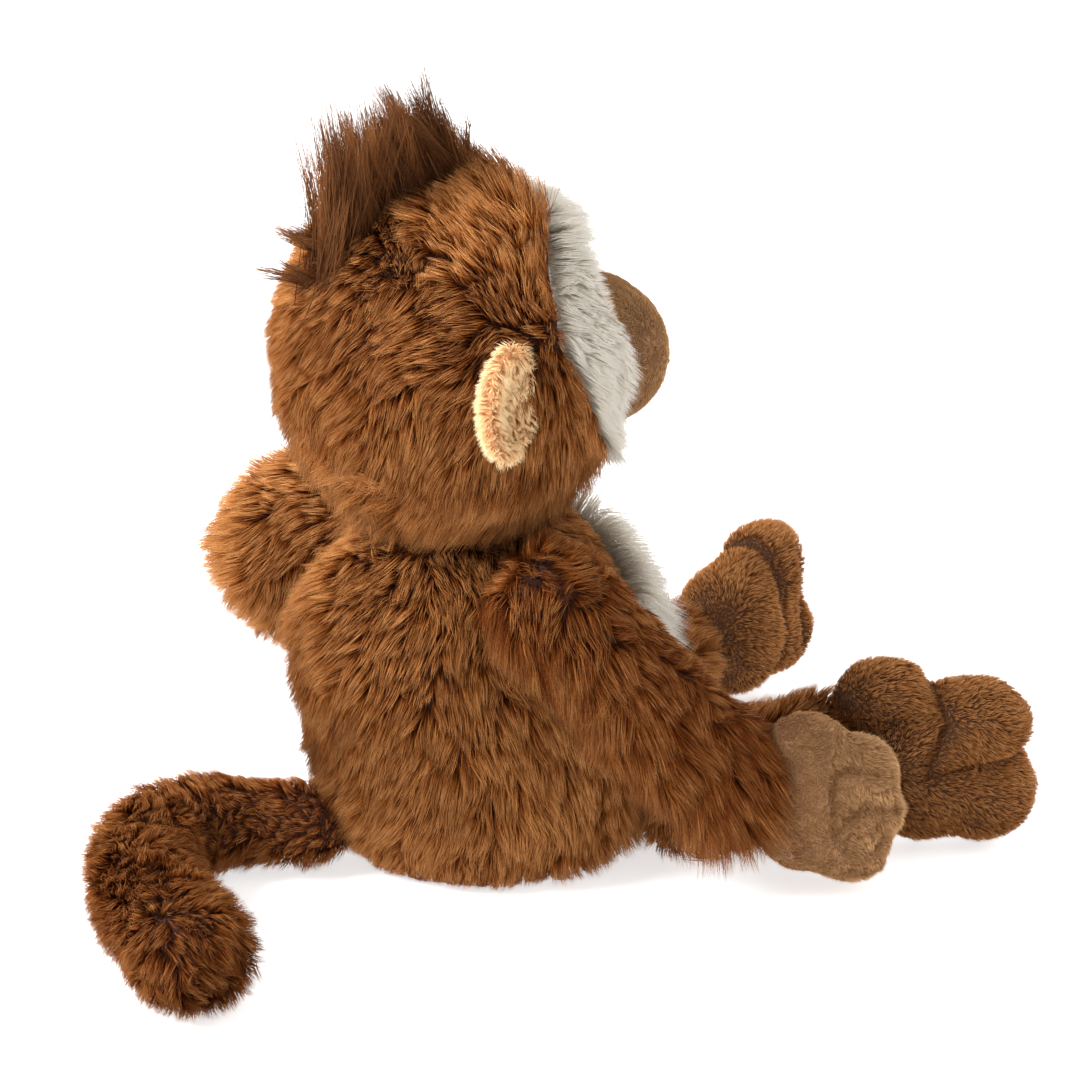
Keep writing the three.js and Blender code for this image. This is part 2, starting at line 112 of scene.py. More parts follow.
def add_camera():
    data = bpy.data.cameras.new("camera")
    data.sensor_fit = "VERTICAL"
    data.sensor_height = SENSOR_HEIGHT
    data.lens = SENSOR_HEIGHT * VIEW_DISTANCE / FRAME_HEIGHT
    data.clip_end = 20.0
    camera = bpy.data.objects.new("camera", data)
    bpy.context.scene.collection.objects.link(camera)
    right, up, back = view_axes()
    along_right, along_up, along_back = VIEW_CENTRE
    place = right * along_right + up * along_up + back * (along_back + VIEW_DISTANCE)
    camera.matrix_world = Matrix.Translation(place) @ Matrix((right, up, back)).transposed().to_4x4()
    bpy.context.scene.camera = camera


def add_area_light(name, towards, distance, size, power):
    data = bpy.data.lights.new(name, "AREA")
    data.shape = "DISK"
    data.size = size
    data.energy = power
    light = bpy.data.objects.new(name, data)
    bpy.context.scene.collection.objects.link(light)
    direction = Vector(towards).normalized()
    light.location = Vector((0, 0, 0.1)) + direction * distance
    light.rotation_euler = direction.to_track_quat("Z", "Y").to_euler()


def add_studio():
    world = bpy.data.worlds.new("studio")
    bpy.context.scene.world = world
    world.use_nodes = True
    background = world.node_tree.nodes["Background"]
    background.inputs["Color"].default_value = (1.0, 1.0, 1.0, 1.0)
    background.inputs["Strength"].default_value = SKY
    right, up, back = view_axes()
    for name, (across, rise, behind, distance, size, power) in LIGHTS.items():
        add_area_light(name, right * across + up * rise + back * behind, distance, size, power)

    bpy.ops.mesh.primitive_plane_add(size=16.0)
    floor = bpy.context.object
    floor.name = "floor"
    white, _, shader = new_material("floor_white")
    set_inputs(shader, Base_Color=(0.9, 0.9, 0.9, 1.0), Roughness=0.9,
               Emission_Color=(1.0, 1.0, 1.0, 1.0), Emission_Strength=FLOOR_GLOW)
    floor.data.materials.append(white)
    bpy.context.scene.view_settings.view_transform = "Standard"
    bpy.context.scene.view_settings.look = "None"


# ---------- materials ----------

def new_material(name):
    material = bpy.data.materials.new(name)
    material.use_nodes = True
    return material, material.node_tree, material.node_tree.nodes["Principled BSDF"]


def add_node(tree, kind, where=None, **values):
    """A shader node with its inputs set, placed by where, if that is given."""
    node = tree.nodes.new("ShaderNode" + kind)
    for name, value in values.items():
        node.inputs[name].default_value = value
    if where is not None:
        tree.links.new(where, node.inputs["Vector"])
    return node


def own_place(tree):
    return tree.nodes.new("ShaderNodeTexCoord").outputs["Object"]


def set_inputs(shader, **values):
    for name, value in values.items():
        shader.inputs[name.replace("_", " ")].default_value = value


def add_bump(tree, shader, height, strength, distance):
    bump = add_node(tree, "Bump", Strength=strength, Distance=distance)
    tree.links.new(height, bump.inputs["Height"])
    tree.links.new(bump.outputs["Normal"], shader.inputs["Normal"])


def colour_ramp(tree, factor, stops):
    ramp = add_node(tree, "ValToRGB")
    elements = ramp.color_ramp.elements
    while len(elements) < len(stops):
        elements.new(0.5)
    for element, (place, colour) in zip(elements, stops):
        element.position = place
        element.color = (*colour, 1.0)
    tree.links.new(factor, ramp.inputs["Fac"])
    return ramp.outputs["Color"]


def pile_material(name, dark, light, roughness):
    """dark and light are stops from root to tip; a strand's own tone, its U, mixes between the two. The dark
    roots are painted shade deep in the pile, and the light tips are partly the fur's own colour and partly
    painted highlight.
    """
    material, tree, shader = new_material(name)
    place = add_node(tree, "UVMap")
    place.uv_map = "OFBake"
    split = add_node(tree, "SeparateXYZ", place.outputs["UV"])
    mix = add_node(tree, "Mix")
    mix.data_type = "RGBA"
    tree.links.new(split.outputs["X"], mix.inputs["Factor"])
    tree.links.new(colour_ramp(tree, split.outputs["Y"], dark), mix.inputs["A"])
    tree.links.new(colour_ramp(tree, split.outputs["Y"], light), mix.inputs["B"])
    tree.links.new(mix.outputs["Result"], shader.inputs["Base Color"])
    set_inputs(shader, Roughness=roughness, Specular_IOR_Level=0.1)
    return material


def backing_material(name, dark, light, pitch=1.1 * MM, roughness=0.9):
    """Knitted backing: rows of small stitches with blotches of wear, and a bump at the stitch pitch. The
    stitches' hollows are painted darker, as painted shade.
    """
    material, tree, shader = new_material(name)
    place = own_place(tree)
    blotch = add_node(tree, "TexNoise", place, Scale=60.0, Detail=5.0)
    stitch = add_node(tree, "TexVoronoi", place, Scale=1.0 / pitch)
    # Painted shade: the tone follows the stitches' bump, darker in their hollows.
    tone = add_node(tree, "Math")
    tone.operation = "MULTIPLY_ADD"
    tone.inputs[1].default_value = 0.35
    tree.links.new(stitch.outputs["Distance"], tone.inputs[0])
    tree.links.new(blotch.outputs["Fac"], tone.inputs[2])
    colour = colour_ramp(tree, tone.outputs[0], [(0.35, dark), (0.85, light)])
    tree.links.new(colour, shader.inputs["Base Color"])
    add_bump(tree, shader, stitch.outputs["Distance"], 0.6, 0.3 * MM)
    set_inputs(shader, Roughness=roughness)
    return material


def thread_material(name, dark, light, pitch=0.45 * MM, roughness=0.55):
    """Twisted thread: fine bands across its run, with a soft variation from strand to strand. The twist's
    grooves are painted darker, as painted shade.
    """
    material, tree, shader = new_material(name)
    twist = add_node(tree, "TexWave", own_place(tree), Scale=0.3 / pitch, Distortion=1.2)
    twist.bands_direction = "DIAGONAL"
    # Painted shade: the colour follows the twist's bump, darker in its grooves.
    colour = colour_ramp(tree, twist.outputs["Fac"], [(0.1, dark), (0.9, light)])
    tree.links.new(colour, shader.inputs["Base Color"])
    add_bump(tree, shader, twist.outputs["Fac"], 0.5, 0.1 * MM)
    set_inputs(shader, Roughness=roughness)
    return material


def speckled_material(name, dark, light, size, roughness, coat=0.0):
    """Moulded plastic: a faint cloudiness in its colour."""
    material, tree, shader = new_material(name)
    cloud = add_node(tree, "TexNoise", own_place(tree), Scale=1.0 / size, Detail=3.0)
    colour = colour_ramp(tree, cloud.outputs["Fac"], [(0.3, dark), (0.7, light)])
    tree.links.new(colour, shader.inputs["Base Color"])
    set_inputs(shader, Roughness=roughness, Coat_Weight=coat, Coat_Roughness=0.05)
    return material


# ---------- meshes from the CAD solids ----------

def new_object(name, mesh):
    piece = bpy.data.objects.new(name, mesh)
    bpy.context.scene.collection.objects.link(piece)
    return piece


def mesh_from(shape, name):
    mesh = bpy.data.meshes.new(name)
    shape.to_mesh(mesh)
    shape.free()
    return mesh


def settle(piece):
    """Applies a piece's modifiers to its mesh."""
    bpy.context.view_layer.update()
    graph = bpy.context.evaluated_depsgraph_get()
    mesh = bpy.data.meshes.new_from_object(piece.evaluated_get(graph))
    piece.modifiers.clear()
    piece.data = mesh
    return piece


def keep_largest_part(mesh):
    shape = bmesh.new()
    shape.from_mesh(mesh)
    left = set(shape.faces)
    parts = []
    while left:
        front = [left.pop()]
        part = list(front)
        while front:
            face = front.pop()
            for edge in face.edges:
                for other in edge.link_faces:
                    if other in left:
                        left.remove(other)
                        front.append(other)
                        part.append(other)
        parts.append(part)
    parts.sort(key=len)
    bmesh.ops.delete(shape, geom=[f for part in parts[:-1] for f in part], context="FACES")
    shape.to_mesh(mesh)
    shape.free()


def form(name, nodes, voxel, rounds, swell=0.0):
    """One smooth closed surface round several CAD solids."""
    shape = bmesh.new()
    for node in nodes:
        shape.from_mesh(frame["nodes"][node].data)
    bmesh.ops.remove_doubles(shape, verts=shape.verts, dist=1e-6)
    piece = remeshed(new_object(name, mesh_from(shape, name)), voxel, rounds, swell)
    keep_largest_part(piece.data)
    return piece


def displace(piece, amount):
    move = piece.modifiers.new("swell", "DISPLACE")
    move.strength = amount
    move.mid_level = 0.0


def remeshed(piece, voxel, rounds, swell=0.0):
    remesh = piece.modifiers.new("even_faces", "REMESH")
    remesh.mode = "VOXEL"
    remesh.voxel_size = voxel
    remesh.use_smooth_shade = True
    soften = piece.modifiers.new("soften", "SMOOTH")
    soften.iterations = rounds
    if swell:
        displace(piece, swell)
    return settle(piece)


def stuffed_paw(name, nodes, voxel, reach, dent, swell):
    """A paw pulled full by its stuffing: the notches between its fingers are closed, and dented there.

    Returns the piece, and a function that says how far above the sewn fingers a place on it is, from 0 to 1.
    """
    plain = form(name + "_plain", nodes, voxel, 4)
    shape = bmesh.new()
    shape.from_mesh(plain.data)
    tree = BVHTree.FromBMesh(shape)
    shape.free()
    displace(plain, reach)
    settle(plain)
    paw = remeshed(plain, voxel, 6)
    paw.name = name
    displace(paw, swell - reach)
    settle(paw)
    paw = remeshed(paw, voxel, 5)
    keep_largest_part(paw.data)

    def filled(points):
        far = np.array([tree.find_nearest(Vector(p))[3] for p in points])
        return np.clip((far - abs(swell) - 0.4 * MM) / (0.6 * reach), 0, 1)

    press_in(paw, filled, dent)
    return paw, filled


def press_in(piece, depth, amount):
    """Moves a piece's surface inwards by amount, times each place's depth."""
    places, normals, _ = surface_arrays(piece.data)
    places = places - normals * (depth(places) * amount)[:, None]
    piece.data.vertices.foreach_set("co", places.reshape(-1))
    piece.data.update()


def surface_tree(node):
    shape = bmesh.new()
    shape.from_mesh(frame["nodes"][node].data)
    tree = BVHTree.FromBMesh(shape)
    shape.free()
    return tree


def nearest_node(points, nodes):
    """For each point, the index of the CAD node whose surface is nearest."""
    trees = [surface_tree(node) for node in nodes]
    far = [[tree.find_nearest(Vector(p))[3] for tree in trees] for p in points]
    return np.argmin(np.array(far), axis=1)


def finish_piece(piece, body, slot, replaces=(), materials=None):
    """Gives a piece its slot's material and its body, and hides the CAD nodes that it stands for."""
    piece.data.materials.clear()
    piece.data.materials.append((materials or bases)[slot])
    if body:
        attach(piece, body)
    if replaces:
        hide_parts(*replaces)
    return piece


# ---------- pile ----------

def unit(vectors):
    return vectors / np.maximum(np.linalg.norm(vectors, axis=-1, keepdims=True), 1e-9)


def surface_arrays(mesh):
    mesh.calc_loop_triangles()
    places = np.empty(len(mesh.vertices) * 3)
    mesh.vertices.foreach_get("co", places)
    normals = np.empty(len(mesh.vertices) * 3)
    mesh.vertices.foreach_get("normal", normals)
    corners = np.empty(len(mesh.loop_triangles) * 3, dtype=np.int64)
    mesh.loop_triangles.foreach_get("vertices", corners)
    return places.reshape(-1, 3), normals.reshape(-1, 3), corners.reshape(-1, 3)


def scatter(mesh, density, rng):
    """Points spread evenly over a mesh, per square metre, with the surface's normals there."""
    places, normals, corners = surface_arrays(mesh)
    a, b, c = (places[corners[:, k]] for k in range(3))
    area = np.linalg.norm(np.cross(b - a, c - a), axis=1) / 2
    running = np.cumsum(area)
    count = int(density * running[-1])
    picks = (np.arange(count) + rng.random(count)) / count * running[-1]
    face = np.minimum(np.searchsorted(running, picks), len(corners) - 1)
    u, v = rng.random(count), rng.random(count)
    flip = u + v > 1
    u[flip], v[flip] = 1 - u[flip], 1 - v[flip]
    weights = np.stack([1 - u - v, u, v], axis=1)[..., None]
    point = (places[corners[face]] * weights).sum(axis=1)
    normal = unit((normals[corners[face]] * weights).sum(axis=1))
    return point, normal


def smooth_noise(points, size, shift=0.0):
    """A smooth vector at each point, changing over about size metres."""
    moved = Vector((shift, 0, 0))
    return np.array([noise.noise_vector(Vector(p) / size + moved) for p in points]).reshape(-1, 3)


def along_surface(direction, normal):
    flat = direction - normal * (direction * normal).sum(axis=1, keepdims=True)
    return unit(flat)


def nearest_index(points, targets):
    tree = KDTree(len(targets))
    for index, target in enumerate(targets):
        tree.insert(target, index)
    tree.balance()
    return np.array([tree.find(p)[1] for p in points])


@dataclass
class Pile:
    """How a kind of pile grows. Lengths in metres, densities per square metre, angles in radians."""

    density: float
    length: float
    width: float
    lean: tuple                       # at the root and at the tip, from the surface's normal
    lock: float = 2.2 * MM            # distance between locks
    pull: float = 0.5                 # how far strands gather into their lock
    stations: tuple = (0, 0.5, 1)     # where a strand has its points, from root to tip
    spread: float = 0.3               # of the locks' lengths
    sag: float = 0.15
    frizz: float = 0.06
    curl: float = 0.0
    wander: float = 0.8               # how much the combing drifts, over wander_size
    wander_size: float = 0.030
    swirl: float = 0.65               # the same drift at about a third of that size
    tuft: float = 8 * MM              # distance between tufts
    tuft_pull: float = 0.55
    stray: float = 0.05               # share of strands outside any lock
    ruffle: float = 0.28
    low: float = 0.3                  # share of the length left at the floor
    tone: tuple = (0.5, 0.10, 0.22)   # mean, spread between locks, spread within a lock


LEAST_RISE = 0.06                     # how far a strand's end direction always points out of the surface
LOW_PILE = 22 * MM                    # pile is crushed shorter below this height


def strand_paths(root, normal, comb, length, lean, pile):
    """Each strand leaves at one angle from the surface's normal, and sags to another."""
    ends = []
    for angle, sag in zip(pile.lean, (0.3 * pile.sag, pile.sag)):
        way = normal * np.cos(angle + lean)[:, None] + comb * np.sin(angle + lean)[:, None] - UP * sag
        inward = np.minimum((way * normal).sum(axis=1, keepdims=True) - LEAST_RISE, 0)
        ends.append(unit(way - normal * inward))
    t = np.array(pile.stations, dtype=float)[None, :, None]
    middle = root + ends[0] * (length * 0.5)[:, None]
    end = middle + ends[1] * (length * 0.5)[:, None]
    return root[:, None] * (1 - t) ** 2 + middle[:, None] * 2 * t * (1 - t) + end[:, None] * t ** 2


def pull_together(paths, guides, own, amount, pile):
    t = np.array(pile.stations, dtype=float)[None, :, None]
    return paths + (guides[own] - paths) * amount[:, None, None] * t ** 1.3


def grow_paths(mesh, pile, comb, seed, region=None, length_at=None, painted_shade_at=None):
    """The strands' points, (count, stations, 3), with each strand's tone and width.

    Strands lean along the comb, gather into locks, and the locks gather into tufts.
    """
    rng = np.random.default_rng(seed)
    share = 1.0

    def roots(density):
        point, normal = scatter(mesh, density, rng)
        if region is None:
            return point, normal
        keep = region(point)
        return point[keep], normal[keep]

    def drift(point, normal):
        large = smooth_noise(point, pile.wander_size) * pile.wander
        small = smooth_noise(point, pile.wander_size * 0.35, 7.0) * pile.swirl
        return along_surface(unit(comb(point, normal)) + large + small, normal)

    tuft_root, tuft_normal = roots(1.0 / pile.tuft ** 2)
    lock_root, lock_normal = roots(1.0 / pile.lock ** 2)
    root, normal = roots(pile.density * share)
    locks, count = len(lock_root), len(root)

    lock_length = pile.length * (1 + pile.spread * (rng.random(locks) - 0.5))
    lock_length *= 1 + 0.3 * smooth_noise(lock_root, 0.012, 3.0)[:, 0]
    lock_length *= np.clip(lock_root[:, 2] / LOW_PILE, pile.low, 1)
    if length_at is not None:
        lock_length = lock_length * length_at(lock_root, lock_normal)
    lock_comb = drift(lock_root, lock_normal)
    lock_lean = rng.normal(0, 0.10, locks) + smooth_noise(lock_root, 0.014, 5.0)[:, 0] * pile.ruffle * 2
    lock_paths = strand_paths(lock_root, lock_normal, lock_comb, lock_length, lock_lean, pile)
    if len(tuft_root):
        tufts = len(tuft_root)
        tuft_length = pile.length * np.clip(tuft_root[:, 2] / LOW_PILE, pile.low, 1)
        if length_at is not None:
            tuft_length = tuft_length * length_at(tuft_root, tuft_normal)
        tuft_paths = strand_paths(tuft_root, tuft_normal, drift(tuft_root, tuft_normal), tuft_length,
                                  rng.normal(0, pile.ruffle, tufts), pile)
        amount = np.clip(pile.tuft_pull + rng.normal(0, 0.12, locks), 0, 0.9)
        lock_paths = pull_together(lock_paths, tuft_paths, nearest_index(lock_root, tuft_root), amount, pile)

    own = nearest_index(root, lock_root)
    strand_comb = along_surface(lock_comb[own] + rng.normal(0, 0.14, (count, 3)), normal)
    length = lock_length[own] * (1 - 0.35 * rng.random(count) ** 2)
    lean = lock_lean[own] + rng.normal(0, 0.09, count)
    paths = strand_paths(root, normal, strand_comb, length, lean, pile)
    amount = np.clip(pile.pull + rng.normal(0, 0.16, locks)[own] + rng.normal(0, 0.10, count), 0, 0.92)
    amount[rng.random(count) < pile.stray] = 0
    paths = pull_together(paths, lock_paths, own, amount, pile)

    t = np.array(pile.stations, dtype=float)[None, :, None]
    side = unit(rng.normal(0, 1, (count, 3)))[:, None]
    paths += side * (length * pile.frizz)[:, None, None] * t
    if pile.curl:
        turn = rng.random(locks) * math.tau
        phase = (turn[own] + rng.normal(0, 0.5, count))[:, None, None] + t * 5.0
        other = unit(np.cross(normal, strand_comb))[:, None]
        paths += (normal[:, None] * np.cos(phase) + other * np.sin(phase)) * pile.curl * t
    floor = FLOOR_CLEARANCE + 0.4 * MM * rng.random((count, 1))
    paths[:, :, 2] = np.maximum(paths[:, :, 2], floor)
    patch = smooth_noise(lock_root, 0.02, 11.0)[:, 0] * 0.5
    # Painted light and shade: where given, each lock's tone is made darker or lighter by its place on the
    # surface.
    if painted_shade_at is not None:
        patch = patch + painted_shade_at(lock_root, lock_normal) / (pile.tone[1] * 2)
    tone = pile.tone[0] + (rng.normal(0, pile.tone[1], locks) + patch * pile.tone[1] * 2)[own]
    tone = tone + rng.normal(0, pile.tone[2], count)
    return paths, np.clip(tone, 0.0, 0.999), pile.width * (0.75 + 0.5 * rng.random(count))


TONE_COLUMNS = 96


def strand_mesh(name, paths, tone, width):
    """Closed strands: a ring of three points at every station but the last, which is the tip."""
    count, stations, _ = paths.shape
    rings = stations - 1
    tangent = unit(paths[:, -1:] - paths[:, :1])
    helper = np.where(np.abs(tangent[:, :, 2:3]) < 0.9, UP, np.array([1.0, 0.0, 0.0]))
    side = unit(np.cross(tangent, helper))
    other = np.cross(tangent, side)
    taper = np.linspace(1.0, 0.45, rings) if rings > 2 else np.array([0.9, 0.9])[:rings]
    points = np.empty((count, rings * 3 + 1, 3))
    for k in range(3):
        angle = k * math.tau / 3
        radius = (width[:, None] * taper[None] / 2)[..., None]
        ring = side * math.cos(angle) + other * math.sin(angle)
        points[:, k:rings * 3:3] = paths[:, :rings] + ring * radius
    points[:, -1] = paths[:, -1]
    points[:, :, 2] = np.maximum(points[:, :, 2], FLOOR_CLEARANCE * 0.3)

    faces = [(2, 1, 0)]
    for r in range(rings - 1):
        for k in range(3):
            a, b = 3 * r + k, 3 * r + (k + 1) % 3
            faces += [(a, b, b + 3), (a, b + 3, a + 3)]
    last = 3 * (rings - 1)
    faces += [(last + k, last + (k + 1) % 3, last + 3) for k in range(3)]
    pattern = np.array(faces)
    corners = (pattern[None] + np.arange(count)[:, None, None] * points.shape[1]).reshape(-1)

    mesh = bpy.data.meshes.new(name)
    mesh.vertices.add(count * points.shape[1])
    mesh.vertices.foreach_set("co", points.reshape(-1).astype(np.float32))
    mesh.loops.add(len(corners))
    mesh.loops.foreach_set("vertex_index", corners.astype(np.int32))
    face_count = len(corners) // 3
    mesh.polygons.add(face_count)
    mesh.polygons.foreach_set("loop_start", np.arange(0, 3 * face_count, 3, dtype=np.int32))
    mesh.polygons.foreach_set("use_smooth", np.ones(face_count, dtype=bool))
    mesh.update(calc_edges=True)

    column = np.floor(tone * TONE_COLUMNS) / TONE_COLUMNS
    across = np.array([0.1, 0.5, 0.9] * rings + [0.5]) / TONE_COLUMNS
    up = np.append(np.repeat(np.arange(rings) / rings, 3), 1.0) * 0.98 + 0.01
    u = column[:, None] + across[None]
    v = np.broadcast_to(up[None], u.shape)
    spots = np.stack([u, v], axis=-1).reshape(-1, 2)
    layer = mesh.uv_layers.new(name="OFBake")
    layer.data.foreach_set("uv", spots[corners].reshape(-1).astype(np.float32))
    return mesh


def add_fur(name, body, slot, strands, blend=None):
    """Strand pieces on one body, or on no body with their placing baked in, each small enough to export
    whole.
    """
    paths, tone, width = strands
    faces_each = 1 + 6 * (paths.shape[1] - 2) + 3
    most = MOST_TRIANGLES // faces_each
    parts = max(1, math.ceil(len(paths) / most))
    for k in range(parts):
        chosen = slice(k, None, parts)
        mesh = strand_mesh(f"{name}_{k + 1}", paths[chosen], tone[chosen], width[chosen])
        piece = new_object(mesh.name, mesh)
        finish_piece(piece, body, slot, materials=piles)
        if blend:
            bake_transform(piece)


# ---------- colours ----------

def srgb(*levels):
    """A colour given in display levels of 0 to 255, as linear values."""
    shares = [level / 255 for level in levels]
    return tuple(c / 12.92 if c <= 0.04045 else ((c + 0.055) / 1.055) ** 2.4 for c in shares)


def stops(*colours):
    places = np.linspace(0, 1, len(colours))
    return [(float(place), srgb(*colour)) for place, colour in zip(places, colours)]


# By slot: the pile's strands, and what they grow on or a bare piece is made of.
# Every pile's stops run from root to tip: the dark roots are painted shade deep in the pile, and the light
# tips are partly the fur's own colour and partly painted highlight.
piles = {
    "brown_pile": pile_material("brown_pile", stops((28, 8, 0), (92, 39, 4), (126, 65, 18)),
                                stops((70, 28, 1), (170, 98, 34), (240, 178, 114)), 0.85),
    "white_pile": pile_material("white_pile", stops((200, 184, 158), (228, 219, 203), (236, 230, 219)),
                                stops((206, 194, 174), (230, 222, 209), (243, 238, 229)), 0.8),
    "tan_velour": pile_material("tan_pile", stops((124, 82, 46), (170, 122, 78)),
                                stops((176, 128, 82), (242, 196, 142)), 0.85),
    "foot_velour": pile_material("foot_pile", stops((60, 28, 6), (116, 66, 26), (132, 80, 38)),
                                 stops((104, 56, 20), (180, 116, 60), (224, 166, 108)), 0.8),
    "ear_plush": pile_material("peach_pile", stops((226, 158, 94), (244, 186, 124)),
                               stops((240, 184, 122), (255, 234, 190)), 0.85),
    "tuft_hair": pile_material("tuft_hair", stops((18, 6, 1), (58, 28, 9)),
                               stops((56, 27, 8), (164, 104, 58)), 0.5),
}
# The pile backings are darker than their piles: partly the knit's own colour, and partly painted shade under
# the strands.
bases = {
    "brown_pile": backing_material("brown_backing", srgb(44, 18, 6), srgb(82, 38, 14)),
    "white_pile": backing_material("white_backing", srgb(172, 160, 142), srgb(206, 196, 182)),
    "tan_velour": backing_material("tan_backing", srgb(112, 78, 50), srgb(144, 104, 70)),
    "foot_velour": backing_material("foot_backing", srgb(62, 38, 22), srgb(96, 64, 40)),
    "tuft_hair": backing_material("crest_backing", srgb(20, 9, 4), srgb(38, 20, 10)),
    "ear_plush": backing_material("peach_backing", srgb(196, 138, 92), srgb(222, 168, 120)),
    "fibre_fill": backing_material("fibre", srgb(206, 204, 198), srgb(243, 242, 238), 2.5 * MM),
    "thread": thread_material("dark_thread", srgb(16, 9, 6), srgb(64, 40, 27)),
    "seam_thread": thread_material("seam_thread", srgb(48, 22, 8), srgb(88, 46, 18)),
    "eye_plastic": speckled_material("eye_plastic", srgb(10, 6, 4), srgb(26, 15, 9), 3 * MM, 0.08),
    "washer_plastic": speckled_material("washer_plastic", srgb(196, 194, 188), srgb(224, 222, 216),
                                        4 * MM, 0.45),
    "pellet_plastic": speckled_material("pellet_plastic", srgb(196, 200, 200), srgb(232, 234, 234),
                                        6 * MM, 0.3, 0.2),
    "lining": backing_material("lining", srgb(202, 196, 182), srgb(230, 226, 214), 0.8 * MM),
}


# ---------- places, from the frame ----------

def box_corners(node):
    return [np.array(tuple(v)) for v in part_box(node)]


def box_centre(node):
    """The centre of a CAD node's box, and half its size."""
    low, high = box_corners(node)
    return (low + high) / 2, (high - low) / 2


head_low, head_high = box_corners("head_skin")
head_radius = (head_high[0] - head_low[0]) / 2
head_centre = np.array([0.0, head_high[1] - head_radius, head_high[2] - head_radius])
joint_place = {joint["name"]: np.array(joint["pos_m"]) for joint in frame["joints"]}


# ---------- combing ----------

def brush(*direction):
    way = np.array(direction, dtype=float)
    return lambda points, normals: np.broadcast_to(way, points.shape)


def brush_from(place, then, reach):
    """Outwards from a place near it, turning to another direction further off."""
    way = np.array(then, dtype=float)

    def comb(points, normals):
        away = points - place
        far = np.linalg.norm(away, axis=1, keepdims=True)
        near = np.exp(-(far / reach) ** 2)
        return unit(away) * near + way * (1 - near)

    return comb


def brush_head(points, normals):
    """Up towards the crest above a level over the ears, and back and down below it."""
    height = (points[:, 2:3] - head_centre[2]) / head_radius
    forward = np.clip((head_centre[1] - points[:, 1:2]) / head_radius + 0.3, 0, 1)
    ripple = smooth_noise(points, 0.02, 9.0)[:, 0:1]
    rise = np.clip((height - 0.45 + 0.25 * forward + 0.35 * ripple) / 0.45, -1, 1)
    rear = np.clip((points[:, 1:2] - head_centre[1]) / head_radius - 0.2, 0, 1)
    rise = rise * (1 - rear) - rear
    across = np.sign(points[:, 0:1]) * 0.25 * (1 - np.abs(rise))
    return np.concatenate([across, np.full_like(rise, 0.55), rise], axis=1)


def brush_face(points, normals):
    """Forward and up off the forehead, and down and forward over the cheeks."""
    top = np.clip((points[:, 2:3] - head_centre[2] - 0.55 * head_radius) / (0.3 * head_radius), 0, 1)
    cheek = np.array([0.0, -0.6, -1.0])
    forehead = np.array([0.0, -1.0, -0.25])
    return cheek * (1 - top) + forehead * top


def brush_belly(points, normals):
    """Down, and outwards over the panel's edges."""
    centre, half = box_centre("belly_panel")
    across = (points[:, 0:1] - centre[0]) / half[0]
    return np.concatenate([across, np.full_like(across, -0.2), np.full_like(across, -0.9)], axis=1)


def head_length(points, normals):
    """Longer towards the neck, where it covers the join, and over the forehead."""
    height = (points[:, 2] - head_centre[2]) / head_radius
    forward = (head_centre[1] - points[:, 1]) / head_radius
    low = np.clip((-0.35 - height) / 0.4, 0, 1)
    brow = np.clip((height - 0.6) / 0.25, 0, 1) * np.clip(forward / 0.25, 0, 1)
    rear = np.clip(-forward - 0.2, 0, 0.6) * np.clip((height + 0.3) / 0.3, 0, 1)
    return 1 + 0.35 * low + 0.85 * brow - 0.3 * rear


def face_length(points, normals):
    """Short over the brow, where the eyes sit, with a tuft over the forehead."""
    height = (points[:, 2] - head_centre[2]) / head_radius
    brow = np.exp(-((height - 0.42) / 0.2) ** 2)
    tuft = np.clip((height - 0.66) / 0.12, 0, 1)
    jaw = np.clip((-0.2 - height) / 0.3, 0, 1)
    return 1 - 0.4 * brow + 0.4 * tuft + 0.8 * jaw


# ---------- head ----------

HEAD_PILE = Pile(2.7e6, 12 * MM, 0.21 * MM, (0.4, 1.05), tone=(0.40, 0.10, 0.22))
BODY_PILE = Pile(2.7e6, 12.5 * MM, 0.21 * MM, (0.4, 1.05), low=0.9)


def build_head():
    nodes = ["head_skin", "face_frame", "face_patch", "head_stuffing"]
    whole = form("head_form", nodes, 2.0 * MM, 10)
    covers = ["head_skin", "face_frame", "face_patch"]

    def on(index):
        return lambda points: nearest_node(points, covers) == index

    mesh = whole.data
    add_fur("head_fur", "head", "brown_pile",
            grow_paths(mesh, HEAD_PILE, brush_head, 11, on(0), head_length))
    white = Pile(3.6e6, 10 * MM, 0.20 * MM, (0.35, 0.9), wander=0.5, tone=(0.5, 0.10, 0.2))
    add_fur("face_fur_white", "head", "white_pile",
            grow_paths(mesh, white, brush_face, 12, on(1), face_length))
    patch = Pile(5.0e6, 3.2 * MM, 0.20 * MM, (0.3, 0.9), pull=0.25, stations=(0, 1), tone=(0.5, 0.10, 0.15))
    add_fur("face_fur_tan", "head", "tan_velour",
            grow_paths(mesh, patch, brush(0, 0, 1), 13, on(2)))
    split_cover(whole, covers, ["head_cover", "white_face", "tan_face"],
                ["brown_pile", "white_pile", "tan_velour"], "head")


def split_cover(whole, nodes, names, slots, body, thickness=1.2 * MM):
    """Cuts one form into sewn covers along the CAD panels' edges, and gives each its fabric's thickness."""
    centres = np.array([face.center for face in whole.data.polygons])
    owner = nearest_node(centres, nodes)
    for index, (node, name, slot) in enumerate(zip(nodes, names, slots)):
        shape = bmesh.new()
        shape.from_mesh(whole.data)
        shape.faces.ensure_lookup_table()
        bmesh.ops.delete(shape, geom=[f for f in shape.faces if owner[f.index] != index], context="FACES")
        smooth_rim(shape)
        piece = new_object(name, mesh_from(shape, name))
        thick = piece.modifiers.new("fabric", "SOLIDIFY")
        thick.thickness = thickness
        thick.offset = -1.0
        settle(piece)
        keep_largest_part(piece.data)
        finish_piece(piece, body, slot, [node])
    bpy.data.objects.remove(whole)


